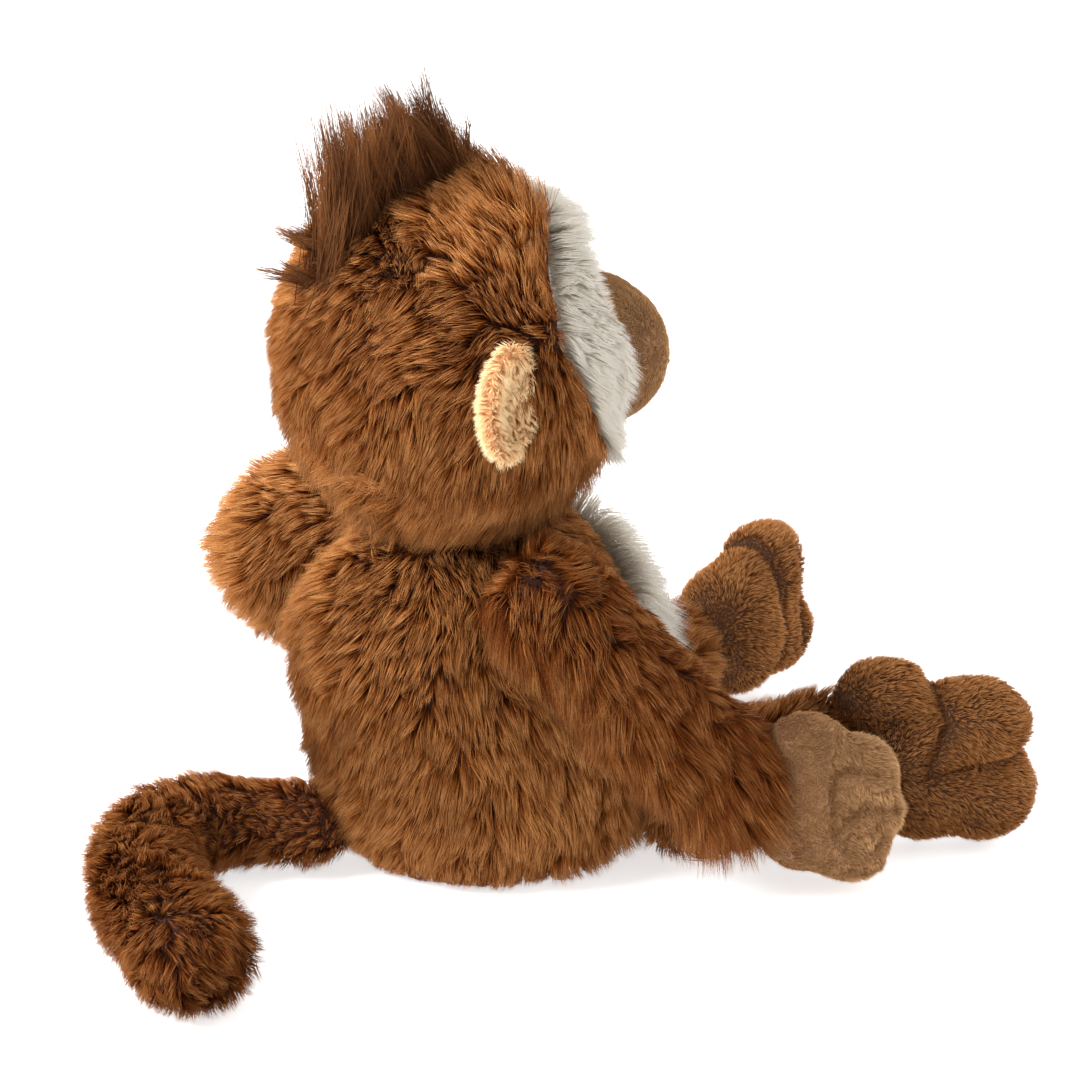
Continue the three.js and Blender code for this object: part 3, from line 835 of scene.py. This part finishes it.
def smooth_rim(shape, rounds=12):
    rim = [v for v in shape.verts if v.is_boundary]
    neighbours = {v: [e.other_vert(v) for e in v.link_edges if e.is_boundary] for v in rim}
    for _ in range(rounds):
        moved = {v: sum((n.co for n in near), Vector()) / len(near) for v, near in neighbours.items() if near}
        for v, place in moved.items():
            v.co = v.co.lerp(place, 0.5)


def build_muzzle():
    muzzle = form("muzzle", ["muzzle_skin", "muzzle_stuffing"], 1.2 * MM, 8, 0.3 * MM)
    stitch = surface_tree("mouth_stitch")

    def clear_of_mouth(points):
        return np.array([stitch.find_nearest(Vector(p))[3] for p in points]) > 1.0 * MM

    pile = Pile(6.5e6, 1.9 * MM, 0.22 * MM, (0.6, 1.2), stations=(0, 1), pull=0.1, wander=0.5, sag=0,
                tone=(0.92, 0.06, 0.12))
    add_fur("muzzle_fur", "head", "tan_velour",
            grow_paths(muzzle.data, pile, brush(0, 1, -0.2), 21, clear_of_mouth))
    finish_piece(muzzle, "head", "tan_velour", ["muzzle_skin"])


# ---------- torso, limbs and tail ----------

def body_length(points, normals):
    """Crushed under the seat's rear edge, long round the hips, and short beside the white chest."""
    low = np.clip(1 - points[:, 2] / (24 * MM), 0, 1)
    rear = np.clip(normals[:, 1] + 0.3 * np.abs(normals[:, 0]) + 0.25, 0, 1)
    hips = np.clip(-normals[:, 1] + 0.6 * np.abs(normals[:, 0]), 0, 1)
    chest = np.clip(-normals[:, 1] * 1.6, 0, 1) * np.clip((points[:, 2] - 48 * MM) / (20 * MM), 0, 1)
    return 1 - 0.75 * low * rear + 0.5 * low * hips - 0.62 * chest


def build_torso():
    whole = form("torso_form", ["body_skin", "belly_panel", "body_stuffing", "pellet_bag", "pellets"],
                 2.2 * MM, 10)
    covers = ["body_skin", "belly_panel"]

    def on(index):
        return lambda points: nearest_node(points, covers) == index

    add_fur("body_fur", "torso", "brown_pile",
            grow_paths(whole.data, BODY_PILE, brush(0.0, 0.15, -1.0), 31, on(0), body_length))
    white = Pile(2.7e6, 19 * MM, 0.21 * MM, (0.0, 0.7), wander=0.5, tone=(0.5, 0.08, 0.18))
    add_fur("belly_fur", "torso", "white_pile",
            grow_paths(whole.data, white, brush_belly, 32, on(1)))
    split_cover(whole, covers, ["body_cover", "belly_cover"], ["brown_pile", "white_pile"], "torso")


ROSETTE = np.array([-3.0, -1.0, 2.0]) * MM    # from the right shoulder's joint to its whorl of hair


def arm_length(points, normals):
    """Flat on the arm's upper side, and longest where it hangs and over the wrist."""
    facing = normals @ unit(np.array([0.0, -0.5, 0.85]))
    hand, _ = box_centre("hand_right_skin")
    wrist = np.exp(-(np.linalg.norm(points - hand, axis=1) / (32 * MM)) ** 2)
    return 1 - 0.55 * np.clip(facing, 0, 1) + 0.5 * np.clip(-facing, 0, 1) + 0.6 * wrist


def build_arm(side, seed):
    arm = form(f"arm_{side}_cover", [f"arm_{side}_skin", f"arm_{side}_stuffing"], 2.0 * MM, 8)
    shoulder = joint_place[f"shoulder_{side}"]
    centre, _ = box_centre(f"hand_{side}_skin")
    way = unit(centre - shoulder) * 0.75 + np.array([0, 0, -0.6])
    if side == "right":
        comb = brush_from(shoulder + ROSETTE, way, 0.024)
        # Painted shade: the right arm's tone is much darker than the left arm's.
        pile = Pile(2.8e6, 13 * MM, 0.21 * MM, (0.5, 1.1), sag=0.35, tuft=9 * MM, tuft_pull=0.68, ruffle=0.38,
                    low=0.8, tone=(0.20, 0.13, 0.2))
    else:
        comb = brush_from(shoulder, (0.1, 0.3, -0.35), 0.03)
        pile = Pile(2.8e6, 12 * MM, 0.21 * MM, (0.2, 0.75), sag=0.05, low=0.8, tone=(0.62, 0.10, 0.2))
    add_fur(f"arm_{side}_fur", f"arm_{side}", "brown_pile",
            grow_paths(arm.data, pile, comb, seed, None, arm_length if side == "right" else None))
    finish_piece(arm, f"arm_{side}", "brown_pile", [f"arm_{side}_skin"])


def build_leg(side, seed):
    leg = form(f"leg_{side}_cover", [f"leg_{side}_skin", f"leg_{side}_stuffing"], 2.0 * MM, 8)
    centre, _ = box_centre(f"foot_{side}_skin")
    way = unit(centre - joint_place[f"hip_{side}"])
    hip = joint_place[f"hip_{side}"]
    outwards = unit(np.array([hip[0], 0.0, -0.4 * abs(hip[0])]))

    def length(points, normals):
        near = np.exp(-(np.linalg.norm(points - hip, axis=1) / (45 * MM)) ** 2)
        return 1 + 0.7 * near * np.clip(normals @ outwards, 0, 1)

    pile = Pile(2.8e6, 10 * MM, 0.21 * MM, (0.4, 1.0), lock=2.0 * MM, low=0.9, tone=(0.5, 0.10, 0.2))
    add_fur(f"leg_{side}_fur", f"leg_{side}", "brown_pile",
            grow_paths(leg.data, pile, brush(*(way + np.array([0, 0, -0.3]))), seed, None, length))
    finish_piece(leg, f"leg_{side}", "brown_pile", [f"leg_{side}_skin"])


# Creases stitched across the paws. A crease is a line of points in the paw's plane: how far towards the
# fingertips, and towards the thumb, as shares of the distance from the paw's centre to its edge.
HAND_CREASES = [[(0.02, 0.42), (0.02, -0.22)], [(0.02, -0.22), (0.28, -0.02), (0.50, 0.04), (0.85, -0.1)],
                [(0.62, -0.2), (0.70, -0.38), (0.58, -0.54)], [(0.25, -0.75), (0.55, -0.8), (0.8, -0.72)],
                [(0.02, 0.42), (0.2, 0.5), (0.55, 0.4)]]
FOOT_CREASES = {"right": [[(-0.15, -0.12), (0.35, 0.0), (0.9, 0.06)],
                          [(-0.1, 0.9), (0.05, 0.45), (-0.15, -0.12)]],
                "left": [[(0.0, 0.85), (0.04, 0.3), (0.0, -0.8)], [(0.5, 0.7), (0.55, 0.0), (0.5, -0.5)]]}


def paw_plane(side, limb, way):
    """The paw's centre, its directions towards the fingertips and the thumb, and its reach along them."""
    node = f"{limb}_{side}_skin"
    centre, _ = box_centre(node)
    tips = unit(way)
    thumb = unit(UP - tips * tips[2])
    mesh = frame["nodes"][node].data
    places, _, _ = surface_arrays(mesh)
    reach = [np.abs((places - centre) @ tips).max(), np.abs((places - centre) @ thumb).max()]
    return centre, tips, thumb, reach


def crease_depth(plane, creases, width=1.7 * MM):
    """How deep in a crease each point is, from 0 to 1."""
    centre, tips, thumb, reach = plane
    axes = np.stack([tips, thumb], axis=1)

    def depth(points):
        flat = (points - centre) @ axes
        nearest = np.full(len(points), np.inf)
        for line in creases:
            corners = np.array(line) * reach
            for start, end in zip(corners, corners[1:]):
                along = np.clip((flat - start) @ (end - start) / ((end - start) @ (end - start)), 0, 1)
                away = np.linalg.norm(flat - start - along[:, None] * (end - start), axis=1)
                nearest = np.minimum(nearest, away)
        return np.exp(-(nearest / width) ** 2)

    return depth


def build_hand(side, seed):
    nodes = [f"hand_{side}_skin", f"hand_{side}_stuffing"]
    hand, filled = stuffed_paw(f"hand_{side}_cover", nodes, 1.1 * MM, 9 * MM, 1.2 * MM, 0.5 * MM)
    centre, _ = box_centre(nodes[0])
    wrist, _ = box_centre(f"arm_{side}_skin")
    way = unit(centre - wrist)
    plane = paw_plane(side, "hand", np.array([way[0], way[1], 0.0]))
    crease = crease_depth(plane, HAND_CREASES)
    press_in(hand, crease, 1.2 * MM)

    # Painted shade: the tone is darker in the creases and over the filled notches between the fingers, and
    # lighter towards the fingertips.
    def painted_shade(points, normals):
        forward = np.clip((points - centre) @ plane[1] / (12 * MM), -1, 1)
        return 0.3 * forward - 0.4 * filled(points) - 0.55 * crease(points)

    def length(points, normals):
        forward = np.clip((points - centre) @ plane[1] / (12 * MM), 0, 1)
        return 0.85 + 0.5 * forward

    pile = Pile(6.0e6, 2.0 * MM, 0.22 * MM, (0.5, 1.15), stations=(0, 1), pull=0.3, wander=1.0, sag=0,
                wander_size=0.014, lock=1.6 * MM, low=0.8, tone=(0.40, 0.12, 0.18))
    add_fur(f"hand_{side}_fur", f"arm_{side}", "tan_velour",
            grow_paths(hand.data, pile, brush(*way), seed, None, length, painted_shade))
    finish_piece(hand, f"arm_{side}", "tan_velour", [nodes[0]])


def build_foot(side, seed):
    nodes = [f"foot_{side}_skin", f"foot_{side}_stuffing"]
    swell = 0.5 * MM if side == "right" else -0.6 * MM
    foot, filled = stuffed_paw(f"foot_{side}_cover", nodes, 1.3 * MM, 12 * MM, 1.4 * MM, swell)
    centre, _ = box_centre(nodes[0])
    way = unit(centre - joint_place[f"hip_{side}"])
    plane = paw_plane(side, "foot", np.array([way[0], way[1], 0.0]))
    crease = crease_depth(plane, FOOT_CREASES[side], 2.0 * MM)
    press_in(foot, crease, 2.4 * MM)

    def heel(normals):
        return np.clip((-normals @ way - 0.25) / 0.4, 0, 1)

    # Painted light and shade: the tone is lighter on upward faces and higher up, and darker in the creases,
    # over the filled notches and on the side turned back towards the hip.
    def painted_shade(points, normals):
        return (0.25 * np.clip(normals[:, 2] + 0.3 * (points[:, 2] - centre[2]) / plane[3][1], -1, 1)
                - 0.4 * filled(points) - 0.45 * crease(points) - 0.35 * heel(normals))

    def length(points, normals):
        return 1 - 0.55 * heel(normals) - 0.4 * crease(points)

    pile = Pile(3.8e6, 3.6 * MM, 0.22 * MM, (0.35, 1.0), lock=1.4 * MM, pull=0.35, wander=1.1,
                wander_size=0.018, tuft=5 * MM, tuft_pull=0.25, ruffle=0.15, low=0.8,
                tone=(0.62 if side == "right" else 0.74, 0.10, 0.2))
    add_fur(f"foot_{side}_fur", f"leg_{side}", "foot_velour",
            grow_paths(foot.data, pile, brush(*way), seed, None, length, painted_shade))
    finish_piece(foot, f"leg_{side}", "foot_velour", [nodes[0]])


def build_ear(side, seed):
    nodes = [f"ear_back_{side}", f"ear_front_{side}"]
    ear, _ = stuffed_paw(f"ear_{side}_cover", nodes, 1.0 * MM, 5 * MM, 0.6 * MM, -0.8 * MM)
    pile = Pile(5.5e6, 4.4 * MM, 0.22 * MM, (0.05, 0.7), lock=1.6 * MM, curl=0.3 * MM, wander=1.0, sag=0.02,
                wander_size=0.008, tuft=4.5 * MM, tuft_pull=0.3, tone=(0.85, 0.10, 0.14))
    add_fur(f"ear_{side}_fur", f"ear_{side}", "ear_plush",
            grow_paths(ear.data, pile, brush(0, 0.5, -0.5), seed))
    finish_piece(ear, f"ear_{side}", "ear_plush", nodes)


# The tail's middle line, which follows the CAD model's route, and its radius at its root and its tip.
TAIL_ROUTE = [(8, 46, 15.8), (8, 53, 16), (15, 63, 16.3), (19.5, 74, 16.6), (20, 87, 17), (12, 100, 17.3),
              (-8, 113, 17.6), (-32, 120, 17.6), (-61, 124, 17.6)]
TAIL_RADII = (9.5 * MM, 14 * MM)


def smooth_route(points, count):
    points = np.array(points)
    padded = np.vstack([2 * points[0] - points[1], points, 2 * points[-1] - points[-2]])
    spans = len(points) - 1
    t = np.linspace(0, spans - 1e-6, count)
    k = t.astype(int)
    f = (t - k)[:, None]
    a, b, c, d = (padded[k + n] for n in range(4))
    return 0.5 * (2 * b + (c - a) * f + (2 * a - 5 * b + 4 * c - d) * f ** 2
                  + (3 * b - a - 3 * c + d) * f ** 3)


def build_tail():
    line = smooth_route(np.array(TAIL_ROUTE) * MM, 60)
    shape = bmesh.new()
    for k, place in enumerate(line):
        radius = TAIL_RADII[0] + (TAIL_RADII[1] - TAIL_RADII[0]) * k / (len(line) - 1)
        bmesh.ops.create_icosphere(shape, subdivisions=2, radius=radius, matrix=Matrix.Translation(place))
    tail = remeshed(new_object("tail_cover", mesh_from(shape, "tail_cover")), 1.8 * MM, 8)
    keep_largest_part(tail.data)

    def comb(points, normals):
        nearest = nearest_index(points, line)
        return unit(np.gradient(line, axis=0))[nearest]

    middle = nearest_index([joint_place["tail_curl"]], line)[0]
    bend = ("tail_base", "tail_end", tuple(line[middle - 8]), tuple(line[middle + 8]))
    pile = Pile(2.8e6, 11.5 * MM, 0.21 * MM, (0.45, 1.0), curl=0.5 * MM, wander=0.9, wander_size=0.016,
                sag=0.08, low=0.8, tone=(0.24, 0.10, 0.18))
    inside = line.mean(axis=0)

    def length(points, normals):
        outer = (unit(points - inside) * normals).sum(axis=1)
        root = np.exp(-(np.linalg.norm(points - line[0], axis=1) / (40 * MM)) ** 2)
        return (1 - 0.35 * np.clip(normals[:, 2], 0, 1)) * (1 + 0.22 * outer) * (1 - 0.35 * root)

    add_fur("tail_fur", None, "brown_pile",
            grow_paths(tail.data, pile, comb, 71, None, length), bend)
    finish_piece(tail, None, "brown_pile", ["tail_base_skin", "tail_end_skin"])
    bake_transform(tail)


# ---------- hair crest ----------

def build_tuft():
    rng = np.random.default_rng(81)
    low, high = box_corners("hair_tuft")
    locks = 84
    per_lock = 90
    stations = 7
    share = (np.arange(locks) + rng.random(locks)) / locks
    y = low[1] + 5 * MM + (high[1] - low[1] - 9 * MM) * share
    x = (rng.random(locks) - 0.5) * 11 * MM
    rise = (head_radius - 1 * MM) ** 2 - x ** 2 - (y - head_centre[1]) ** 2
    z = head_centre[2] + np.sqrt(np.maximum(rise, 0))
    root = np.stack([x, y, z], axis=1)
    back = 0.46 - 0.50 * share + rng.normal(0, 0.12, locks)
    out = x / (5.5 * MM) * 0.12 + rng.normal(0, 0.08, locks)
    direction = unit(np.stack([out, np.sin(back), np.cos(back)], axis=1))
    length = (high[2] + 4 * MM - root[:, 2]) * (0.70 + 0.38 * rng.random(locks))
    length = np.minimum(length / np.maximum(np.cos(back), 0.55), 46 * MM)
    fallen = rng.choice(np.where(share > 0.78)[0], 5, replace=False)
    direction[fallen] = unit(np.array([0.15, 1.0, 0.42]) + rng.normal(0, 0.09, (5, 3)))
    length[fallen] = 24 * MM
    which = np.repeat(np.arange(locks), per_lock)
    count = len(which)
    t = np.linspace(0, 1, stations)[None, :, None]
    start = root[which] + rng.normal(0, 1, (count, 3)) * np.array([1.8, 2.4, 0.4]) * MM
    own_length = length[which] * (1 - 0.55 * rng.random(count) ** 1.3)
    own_way = unit(direction[which] + rng.normal(0, 0.06, (count, 3)))
    bow = unit(rng.normal(0, 1, (locks, 3)))[which] * 0.14 + rng.normal(0, 0.04, (count, 3))
    paths = start[:, None] + own_way[:, None] * (own_length[:, None, None] * t)
    paths += bow[:, None] * (own_length[:, None, None] * t ** 2)
    lock_line = root[which][:, None] + direction[which][:, None] * (own_length[:, None, None] * t)
    lock_line += bow[:, None] * (own_length[:, None, None] * t ** 2)
    gather = np.where(rng.random(count) > 0.06, 0.82, 0.0)
    gather[np.isin(which, fallen)] = 0.3
    paths += (lock_line - paths) * gather[:, None, None] * t
    tone = np.clip(0.45 + rng.normal(0, 0.2, locks)[which] + rng.normal(0, 0.15, count), 0, 0.999)
    width = 0.24 * MM * (0.7 + 0.6 * rng.random(count))
    add_fur("crest_hair", "head", "tuft_hair", (paths, tone, width))
    strip = form("crest_base", ["hair_tuft"], 1.5 * MM, 4)
    for vertex in strip.data.vertices:
        x, y, z = vertex.co
        ball = (head_radius + 1.5 * MM) ** 2 - x ** 2 - (y - head_centre[1]) ** 2
        vertex.co.z = min(z, head_centre[2] + math.sqrt(max(ball, 0)))
    finish_piece(strip, "head", "tuft_hair", ["hair_tuft"])


# ---------- eyes, nose and mouth ----------

def build_face_parts():
    for side in SIDES:
        eye = form(f"eye_{side}_dome", [f"eye_{side}"], 0.3 * MM, 14)
        for vertex in eye.data.vertices:
            vertex.co.y += 1.5 * MM
        finish_piece(eye, "head", "eye_plastic", [f"eye_{side}"])
        washer = form(f"eye_washer_{side}_ring", [f"eye_washer_{side}"], 0.6 * MM, 2)
        finish_piece(washer, "head", "washer_plastic", [f"eye_washer_{side}"])
    mouth = form("mouth_thread", ["mouth_stitch"], 0.3 * MM, 3)
    for vertex in mouth.data.vertices:
        vertex.co.y -= 0.2 * MM
    finish_piece(mouth, "head", "thread", ["mouth_stitch"])
    nose = form("nose_base", ["nose_patch"], 0.4 * MM, 8, -0.7 * MM)
    sew_over(nose, "nose_stitches", 0.5 * MM)
    finish_piece(nose, "head", "thread", ["nose_patch"])


def sew_over(piece, name, pitch):
    """Satin stitches: threads lying side by side down the front of a small padded piece."""
    shape = bmesh.new()
    shape.from_mesh(piece.data)
    tree = BVHTree.FromBMesh(shape)
    shape.free()
    places, _, _ = surface_arrays(piece.data)
    low, high = places.min(axis=0), places.max(axis=0)
    steps = 9
    lines = []
    for x in np.arange(low[0] + pitch, high[0] - pitch / 2, pitch):
        line = []
        for z in np.linspace(high[2] - 0.3 * MM, low[2] + 0.3 * MM, steps):
            hit, normal, _, _ = tree.ray_cast(Vector((x, low[1] - 0.02, z)), Vector((0, 1, 0)))
            if hit is not None:
                line.append(hit + normal * 0.1 * MM)
        if len(line) > 2:
            lines.append(line)
    shape = bmesh.new()
    for line in lines:
        add_cord(shape, line, pitch * 0.56)
    stitches = new_object(name, mesh_from(shape, name))
    for face in stitches.data.polygons:
        face.use_smooth = True
    finish_piece(stitches, "head", "thread")


def add_cord(shape, line, radius, sides=6):
    """A closed round cord along a line of points."""
    line = [Vector(p) for p in line]
    rings = []
    for k, place in enumerate(line):
        ahead = line[min(k + 1, len(line) - 1)] - line[max(k - 1, 0)]
        turn = ahead.to_track_quat("Z", "Y")
        narrow = 0.35 if k in (0, len(line) - 1) else 1.0
        ring = []
        for n in range(sides):
            angle = n * math.tau / sides
            offset = turn @ Vector((math.cos(angle), math.sin(angle), 0)) * radius * narrow
            ring.append(shape.verts.new(place + offset))
        rings.append(ring)
    for one, two in zip(rings, rings[1:]):
        for n in range(sides):
            shape.faces.new((one[n], one[(n + 1) % sides], two[(n + 1) % sides], two[n]))
    shape.faces.new(rings[0][::-1])
    shape.faces.new(rings[-1])


# ---------- the neck's seam and what is inside the covers ----------

def build_inner():
    """Every stuffing as a lump of fibre batting, and the bag of beads that weighs the seat."""
    for node, piece in frame["nodes"].items():
        if node.endswith("_stuffing"):
            loose = node.startswith(("hand", "foot", "tail"))
            inset = 2.6 * MM if loose else 0.5 * MM
            lumpy = form(node.replace("_stuffing", "_fibre"), [node], 2.2 * MM, 3, -inset)
            finish_piece(lumpy, piece["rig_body"], "fibre_fill", [node])
    seam = form("neck_gather", ["neck_seam"], 0.8 * MM, 2)
    finish_piece(seam, "neck", "seam_thread", ["neck_seam"])
    bag = form("bead_bag", ["pellet_bag"], 1.2 * MM, 4)
    finish_piece(bag, "torso", "lining", ["pellet_bag"])
    build_beads()


def build_beads(size=3.6 * MM):
    tree = surface_tree("pellets")
    centre, half = box_centre("pellets")
    rng = np.random.default_rng(91)
    shape = bmesh.new()
    steps = [np.arange(-h + size / 2, h, size) for h in half]
    for offset in np.stack(np.meshgrid(*steps, indexing="ij"), axis=-1).reshape(-1, 3):
        place = Vector(centre + offset + rng.normal(0, 0.2 * MM, 3))
        near, normal, _, far = tree.find_nearest(place)
        if (place - near).dot(normal) < 0 and far > size * 0.55:
            bmesh.ops.create_icosphere(shape, subdivisions=1, radius=size * 0.5,
                                       matrix=Matrix.Translation(place))
    mesh = mesh_from(shape, "beads")
    for face in mesh.polygons:
        face.use_smooth = True
    finish_piece(new_object("beads", mesh), "torso", "pellet_plastic", ["pellets"])


add_camera()
add_studio()
build_head()
build_muzzle()
build_torso()
for index, side in enumerate(SIDES):
    build_arm(side, 41 + index)
    build_leg(side, 45 + index)
    build_hand(side, 51 + index)
    build_foot(side, 55 + index)
    build_ear(side, 61 + index)
build_tail()
build_tuft()
build_face_parts()
build_inner()
